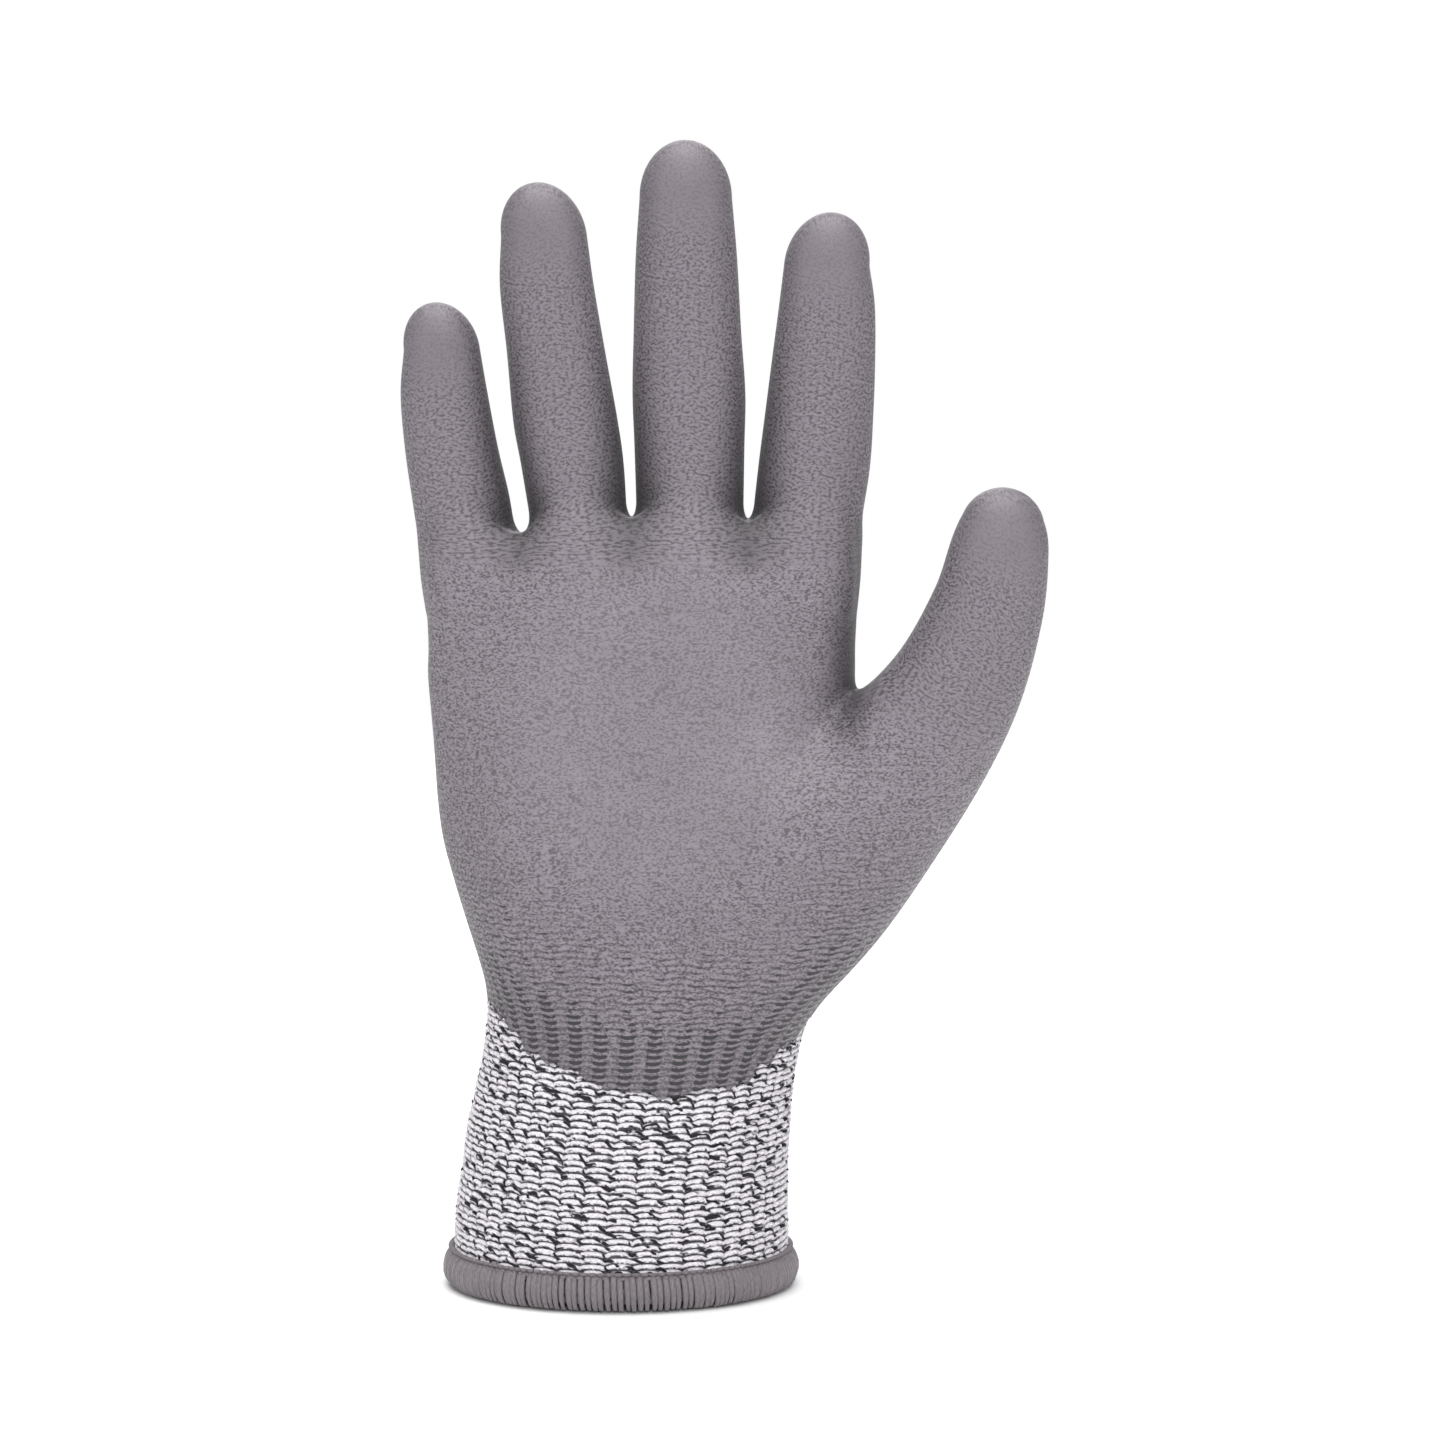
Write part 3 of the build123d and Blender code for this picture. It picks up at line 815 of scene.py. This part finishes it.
CELL = 1.0  # grid that the surface is found on
points, quads = surface(CELL)
points = relax(points, quads, 3)
middle = points[quads].mean(1)
who = owner(middle)
seg = segment(middle, who)
normals = normal_of(points)
inner = points - normals * INSIDE
for k, where in enumerate(SEGMENTS):
    mine = (seg == k) & (middle[:, 2] > 1.5)
    faces, used = pick(quads[:, ::-1], mine)
    uv = corner_uv(points[used], faces, who[mine])
    obj = make_mesh(f"{where}_liner_inside", inner[used], faces, uv, inside_m, None, -normals[used])
    dress(obj, where, "liner_yarn", *[f"{n}_liner" for n in STANDS_FOR[where]])


def pull_in(p):
    """Moves points outside the coating's edge along the surface onto it."""
    for _ in range(3):
        d = dip(p)
        g = np.stack([(dip(p + e) - dip(p - e)) / 0.4 for e in np.eye(3) * 0.2], 1)
        n = normal_of(p)
        g -= (g * n).sum(1)[:, None] * n
        move = (-d / np.maximum((g**2).sum(1), 0.05))[:, None] * g
        far = np.linalg.norm(move, axis=1)
        p = settle(p + move * np.minimum(1, 1.5 / np.maximum(far, 1e-6))[:, None], rounds=1)
    return p


points, quads = refine(points, quads)
inside = dip(points)
faces, used = pick(quads, (inside[quads] > 0).any(1))
skin, bare = points[used], inside[used] < 0
skin[bare] = pull_in(skin[bare])
who = owner(skin[faces].mean(1))
normals = normal_of(skin)
shell = skin + normals * FILM

# the film's cut edge: quads from the rim down into the knit
a, b = faces.ravel(), np.roll(faces, -1, 1).ravel()
low, high = np.minimum(a, b), np.maximum(a, b)
_, first, times = np.unique(low * len(skin) + high, return_index=True, return_counts=True)
rim = first[times == 1]
rim_points, rim_flat = np.unique(np.stack([b[rim], a[rim]]), return_inverse=True)
rim_flat = rim_flat.reshape(2, -1) + len(skin)
edge_quads = np.stack([b[rim], a[rim], rim_flat[1], rim_flat[0]], 1)
shell = np.concatenate([shell, skin[rim_points] - normals[rim_points] * FILM_EDGE])
skin = np.concatenate([skin, skin[rim_points]])
normals = np.concatenate([normals, normals[rim_points]])
who = np.concatenate([who, who[rim // 4]])
faces = np.concatenate([faces, edge_quads])
tips = np.zeros(len(skin))
for name in DIGITS:
    tips = np.maximum(tips, step((skin[:, 2] - FINGERS[name][-1, 1] + 14) / 16)
                      * (np.abs(skin[:, 0] - FINGERS[name][-1, 0]) < 13))
tips = np.maximum(tips, step((up_thumb(skin) - 33) / 14) * (skin[:, 0] > 56))
hollow = np.linalg.norm((skin - (8.0, -16.0, 126.0)) / (38.0, 30.0, 42.0), axis=1)
values = {
    # grows as the surface turns away from the palm's front; the coating paints thinner film and painted shade
    # on those sides with it
    "thin": 1 - np.clip(-normals[:, 1], 0, 1),
    "heel": heel(skin),
    "rib": rib_strength(skin),
    # depth between the digits, used only for painted shade in the coating
    "cleft": cleft(skin),
    "digit": np.maximum(step((skin[:, 2] - 157) / 8), step(up_thumb(skin) / 8) * (thumb_gap(skin) < 8)),
    "smooth": np.maximum(tips, 0.55 * step((1.25 - hollow) / 0.7)),
    "tip": tips,
}
seg = segment(skin[faces].mean(1), who)
for k, where in enumerate(SEGMENTS):
    part, mine = pick(faces, seg == k)
    uv = corner_uv(skin[mine], part, who[seg == k])
    obj = make_mesh(f"{where}_coating_film", shell[mine], part, uv, coating_m,
                    {key: value[mine] for key, value in values.items()}, normals[mine])
    dress(obj, where, "coating", *[f"{n}_coating" for n in STANDS_FOR[where]])

# ---------------------------------------------------------------- yarn


def tubes(path, normal, live, radius, sides, flat=1.0):
    """Tubes round rows of path points (rows x samples x 3), broken where live is false."""
    rows, cols = path.shape[:2]
    tangent = np.gradient(path, axis=1)
    tangent /= np.maximum(np.linalg.norm(tangent, axis=2), 1e-6)[..., None]
    side = np.cross(tangent, normal)
    side /= np.maximum(np.linalg.norm(side, axis=2), 1e-6)[..., None]
    up = np.cross(side, tangent)
    a = np.linspace(0, 2 * math.pi, sides, endpoint=False)
    ring = np.cos(a)[:, None] * up[:, :, None, :] * flat + np.sin(a)[:, None] * side[:, :, None, :]
    verts = (path[:, :, None, :] + ring * radius[:, :, None, None]).reshape(-1, 3)
    index = np.arange(rows * cols * sides).reshape(rows, cols, sides)
    near, far = index[:, :-1], index[:, 1:]
    quads = np.stack([near, np.roll(near, -1, 2), np.roll(far, -1, 2), far], -1)
    quads = quads[live[:, :-1] & live[:, 1:]].reshape(-1, 4)
    steps = np.linalg.norm(np.diff(path, axis=1), axis=2)
    length = np.concatenate([np.zeros((rows, 1)), np.cumsum(steps, 1)], 1) + np.arange(rows)[:, None] * 61.7
    along = np.repeat(length[:, :, None], sides, 2).ravel()
    around = np.broadcast_to(np.arange(sides) / sides, index.shape).ravel()
    faces, used = pick(quads, np.ones(len(quads), bool))
    uv = np.stack([along[used][faces], around[used][faces]], -1)
    last = uv[..., 1].max(1) - uv[..., 1].min(1) > 0.5
    uv[..., 1] = np.where(last[:, None] & (uv[..., 1] < 0.5), uv[..., 1] + 1, uv[..., 1])
    return verts[used], faces, uv, used // sides


def noise(seed, *shape):
    return np.random.default_rng(seed).uniform(-1, 1, shape)


PER_WALE = 10
YARN_SIDES = 7
YARN_RADIUS = 0.53  # of a stitch's yarn where it dives
YARN_DEPTH = -0.86  # of the yarn's middle there, from the glove's outer face
TUCK = 0.4  # how much deeper the yarn lies at the coating's edge
UNDER_FILM = 1.6  # how far the rows go on under the coating


def yarn_piece(name, where, slot, nodes, surface_points, u, live, up, seed):
    """Rows of stitches: an arch over each wale, and a dive between it and the next."""
    flat = surface_points.reshape(-1, 3)
    n = normal_of(flat).reshape(surface_points.shape)
    inside = dip(flat).reshape(u.shape)
    wale = np.floor(u + 0.5).astype(int)
    jitter = noise(seed, len(u), np.ptp(wale) + 1, 4)[np.arange(len(u))[:, None], wale - wale.min()]
    arch = 1 - np.abs(2 * (u - np.floor(u + 0.5))) ** 2.4
    tuck = TUCK * step((inside + 1.2) / 1.4)
    lift = 0.62 * (arch - 0.62) + 0.12 * jitter[..., 0] * arch
    level = YARN_DEPTH + 0.5 * arch + 0.1 * jitter[..., 1] * arch - tuck
    slant = 0.22 * jitter[..., 3] * (u - np.floor(u + 0.5))
    path = surface_points + n * level[..., None] + up * (lift + slant)[..., None]
    radius = YARN_RADIUS + 0.1 * arch + 0.06 * jitter[..., 2] * arch
    verts, faces, uv, where_from = tubes(path, n, live & (inside < UNDER_FILM), radius, YARN_SIDES, 0.8)
    dive = (1 - arch).ravel()[where_from]
    obj = make_mesh(name, verts, faces, uv, yarn_m, {"dive": dive})
    dress(obj, where, slot, *nodes)


def reach_out(centre, way, start, limit, rounds):
    """How far each ray from its centre goes to the glove's outer face, and whether it got there."""
    t = start
    for _ in range(rounds):
        t = t - np.clip(hand(centre + way * t[:, None]), -limit, limit) * 0.87
    p = centre + way * t[:, None]
    return p, t, np.abs(hand(p)) < 0.15


def torso_rows(z_low, z_high):
    """Surface points of the rows round the cuff and the palm, from the back's middle round."""
    z = np.arange(math.ceil(z_low / COURSE), math.floor(z_high / COURSE) + 1) * COURSE
    share = np.linspace(-0.5, 0.5, WALES["torso"] * PER_WALE + 1)
    zz = np.repeat(z[:, None], len(share), 1)
    x0, a, b, _ = torso_at(zz.ravel())
    turn = np.stack([turn_of(share, torso_at(row)[2] / torso_at(row)[1]) for row in z]).ravel()
    way = np.stack([np.sin(turn) * a, -np.cos(turn) * b, np.zeros(zz.size)], 1)
    reach = np.linalg.norm(way, axis=1)
    centre = np.stack([x0, np.zeros(zz.size), zz.ravel()], 1)
    p, _, good = reach_out(centre, way / reach[:, None], reach, 6, 22)
    u = np.repeat(share[None] * WALES["torso"], len(z), 0)
    return p.reshape(*zz.shape, 3), u, zz, good.reshape(zz.shape)


def digit_rows(name, s_low, s_high):
    """Surface points of the rows round a finger or the thumb."""
    s = np.arange(math.ceil(s_low / COURSE), math.floor(s_high / COURSE) + 1) * COURSE
    share = np.linspace(-0.5, 0.5, WALES[name] * PER_WALE + 1)
    ss = np.repeat(s[:, None], len(share), 1)
    if name == "thumb":
        way, side = THUMB_WAY, THUMB_SIDE
        base = THUMB_ROOT + (ss[..., None] - THUMB_BASE) * way
        cx, cy = [np.interp(base[..., 2], THUMB[:, 2], THUMB[:, k]) for k in (0, 1)]
    else:
        way, side = FINGER_WAY[name], np.array([1.0, 0, 0])
        base = FINGER_START[name] + (ss[..., None] - FINGER_BASE) * way
        cx = np.interp(base[..., 2], FINGERS[name][:, 1], FINGERS[name][:, 0])
        cy = np.interp(base[..., 2], *FINGER_Y[name])
    centre = np.stack([cx, cy, base[..., 2]], -1)
    side = side - way * (side @ way)
    side /= np.linalg.norm(side)
    palm = np.cross(side, way)
    turn = share * 2 * math.pi
    out = np.sin(turn)[:, None] * side + np.cos(turn)[:, None] * palm * FLAT
    out = np.broadcast_to(out / np.linalg.norm(out, axis=1)[:, None], centre.shape).reshape(-1, 3)
    p, t, good = reach_out(centre.reshape(-1, 3), out, np.full(ss.size, 6.0), 4, 16)
    good = (good & (t > 2) & (t < 22)).reshape(ss.shape)
    u = np.repeat(share[None] * WALES[name], len(s), 0)
    return p.reshape(centre.shape), u, ss, good, np.broadcast_to(way, centre.shape)


HEM_TOP = 7.2
FORK = 120.4  # above it the palm's rows pass behind the thumb
start, u, v, good = torso_rows(HEM_TOP + 0.9, SPLIT + 1)
up = np.broadcast_to(np.array([0.0, 0.0, 1.0]), start.shape)
CUFF_TOP = 38.0
for name, where, slot, nodes, low, high in (
    ("cuff_yarn", "heel", "cuff_yarn", ["cuff_knit", "cuff_elastic_rings"], 0, CUFF_TOP),
    ("wrist_yarn", "heel", "cuff_yarn", ["palm_liner"], CUFF_TOP, LOW_PALM),
    ("back_yarn", "palm", "liner_yarn", ["palm_liner"], LOW_PALM, 200),
):
    m = (v[:, 0] >= low) & (v[:, 0] < high)
    yarn_piece(name, where, slot, nodes, start[m], u[m], good[m], up[m], 11 + int(low))

for i, name in enumerate((*DIGITS, "thumb")):
    if name == "thumb":
        low, top = THUMB_BASE - 10, THUMB_BASE + 49
    else:
        low, top = SPLIT - 0.5, FINGERS[name][-1, 1] + 3
    start, u, v, good, up = digit_rows(name, low, top)
    flat = start.reshape(-1, 3)
    own = owner(flat) == TUBES.index(name)
    if name == "thumb":
        own |= (flat[:, 2] > FORK) & (torso_field(flat) > 0.8)
    good &= own.reshape(good.shape)
    levels = (0, *CUTS[name], 1e3)
    parts = [where for where in SEGMENTS if where.startswith(name)]
    for k, where in enumerate(parts):
        m = (v[:, 0] >= levels[k]) & (v[:, 0] < levels[k + 1])
        yarn_piece(f"{where}_yarn", where, "liner_yarn", [f"{where}_liner"],
                   start[m], u[m], good[m], up[m], 90 + i * 5 + k)

# ---------------------------------------------------------------- hem

WRAPS = 200  # turns of overlock thread round the mouth
CHAIN = 150  # stitches of needle thread
hem_x, hem_a, hem_b, _ = [float(k) for k in torso_at(4.0)]


def hem_ring(share, off):
    """Points round the mouth, off outside the cuff, and the outward and onward directions there."""
    turns = turn_of(share, hem_b / hem_a)
    out = np.stack([np.sin(turns) / hem_a, -np.cos(turns) / hem_b], 1)
    out /= np.linalg.norm(out, axis=1)[:, None]
    ring = np.stack([hem_x + np.sin(turns) * hem_a, -np.cos(turns) * hem_b], 1)
    return ring + out * off, out, np.stack([-out[:, 1], out[:, 0]], 1)


# each wrap of thread runs down the outside, under the edge and up the inside: out from the cuff, height
WRAP = np.array([(0.2, 7.9), (0.8, 7.3), (1.5, 6.2), (1.9, 4.8), (1.95, 3.4), (1.6, 2.1), (0.9, 1.0),
                 (-0.2, 0.62), (-1.5, 0.7), (-2.7, 1.3), (-3.2, 2.8), (-3.1, 4.6), (-2.6, 6.4), (-1.9, 7.8)])
jog = noise(5, WRAPS, 4)[:, :, None, None]
places = (np.arange(WRAPS) + 0.5) / WRAPS - 0.5
ring, out, onward = hem_ring(places, 0)
slant = (np.linspace(-0.5, 0.5, len(WRAP)) * 0.9)[None, :, None] + jog[:, 1] * 0.2
flat = ring[:, None] + out[:, None] * (WRAP[None, :, :1] + jog[:, 0] * 0.1) + onward[:, None] * slant
path = np.concatenate([flat, np.repeat(WRAP[None, :, 1:], WRAPS, 0) + jog[:, 2] * 0.1], 2)
centre = np.concatenate([hem_ring(places, -0.6)[0], np.full((WRAPS, 1), 4.2)], 1)
normal = path - centre[:, None]
normal /= np.linalg.norm(normal, axis=2)[..., None]
THICK = np.interp(np.arange(len(WRAP)), (0, 3, 6, 9, 13), (0.7, 0.68, 0.5, 0.5, 0.66))
radius = THICK + jog[:, 3, :, 0] * 0.07
verts, faces, uv, _ = tubes(path, normal, np.ones(path.shape[:2], bool), radius, 8, 0.7)
hem = make_mesh("hem_overlock_wraps", verts, faces, uv, thread_m)
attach(hem, "cuff")
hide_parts("hem_overlock_binding")

# two threads twist round each other along the top of the hem
share = np.linspace(-0.5, 0.5, CHAIN * 8 + 1)
beat = np.cos(share * CHAIN * 2 * math.pi)
paths = []
for z, sign in ((8.5, 1), (7.8, -1)):
    ring, out, _ = hem_ring(share, (0.45 + 0.4 * sign * beat)[:, None])
    paths.append(np.concatenate([ring, (z + 0.15 * beat)[:, None]], 1))
path = np.stack(paths)
normal = np.broadcast_to(np.concatenate([out, np.zeros((len(share), 1))], 1), path.shape)
verts, faces, uv, _ = tubes(path, normal, np.ones(path.shape[:2], bool), np.full(path.shape[:2], 0.38), 6)
needle = make_mesh("hem_needle_chain", verts, faces, uv, thread_m)
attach(needle, "cuff")
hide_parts("hem_needle_thread")

# ---------------------------------------------------------------- stage, light, camera

FLOOR = 0.8  # metres from the glove to the floor's edge, where it is as white as the backdrop
floor = bpy.data.meshes.new("floor")
corners = [(-FLOOR, -FLOOR, 0), (FLOOR, -FLOOR, 0), (FLOOR, FLOOR, 0), (-FLOOR, FLOOR, 0)]
floor.from_pydata(corners, [], [(0, 1, 2, 3)])
floor_o = bpy.data.objects.new("floor", floor)
bpy.context.scene.collection.objects.link(floor_o)
white = bpy.data.materials.new("white")
white.use_nodes = True
white.node_tree.nodes["Principled BSDF"].inputs["Base Color"].default_value = (0.95, 0.95, 0.95, 1)
white.node_tree.nodes["Principled BSDF"].inputs["Roughness"].default_value = 0.9
floor.materials.append(white)

# The backdrop is white, and lights the glove only softly
world = bpy.data.worlds.new("world")
bpy.context.scene.world = world
world.use_nodes = True
nodes, link = world.node_tree.nodes, world.node_tree.links.new
seen = nodes.new("ShaderNodeLightPath")
strength = nodes.new("ShaderNodeMapRange")
link(seen.outputs["Is Camera Ray"], strength.inputs["Value"])
strength.inputs["To Min"].default_value = 0.33
strength.inputs["To Max"].default_value = 1.0
nodes["Background"].inputs[0].default_value = (1, 1, 1, 1)
link(strength.outputs["Result"], nodes["Background"].inputs[1])


def softbox(name, place, aim, size, power):
    """An area light at place that faces aim, in metres and watts."""
    light = bpy.data.lights.new(name, "AREA")
    light.shape = "RECTANGLE"
    light.size, light.size_y = size
    light.energy = power
    obj = bpy.data.objects.new(name, light)
    obj.location = place
    obj.rotation_euler = (Vector(aim) - Vector(place)).to_track_quat("-Z", "Y").to_euler()
    bpy.context.scene.collection.objects.link(obj)


MIDDLE = (0.0, 0.0, 0.12)
softbox("front softbox", (0.1, -1.3, 0.9), MIDDLE, (0.9, 0.9), 8.0)
softbox("left strip", (-0.9, -0.8, 0.3), MIDDLE, (0.2, 1.2), 3.0)
softbox("right strip", (0.9, -0.8, 0.3), MIDDLE, (0.2, 1.2), 3.0)
softbox("top softbox", (0.0, 0.0, 1.5), MIDDLE, (1.6, 1.6), 30.0)
softbox("back softbox", (0.0, 1.4, 0.9), MIDDLE, (0.9, 0.9), 6.0)

cam = bpy.data.cameras.new("camera")
cam_o = bpy.data.objects.new("camera", cam)
bpy.context.scene.collection.objects.link(cam_o)
bpy.context.scene.camera = cam_o
DISTANCE, ELEVATION = 1.0, math.radians(8)
TARGET = Vector((0.0222, 0.0, 0.1246))
FRAME_WIDTH = 0.3133  # metres across the picture at the glove
cam_o.location = TARGET + Vector((0, -math.cos(ELEVATION), math.sin(ELEVATION))) * DISTANCE
cam_o.rotation_euler = (math.radians(90) - ELEVATION, 0, 0)
SENSOR = 36.0
cam.sensor_width = SENSOR
cam.lens = SENSOR * DISTANCE / FRAME_WIDTH
bpy.context.scene.view_settings.view_transform = "Standard"
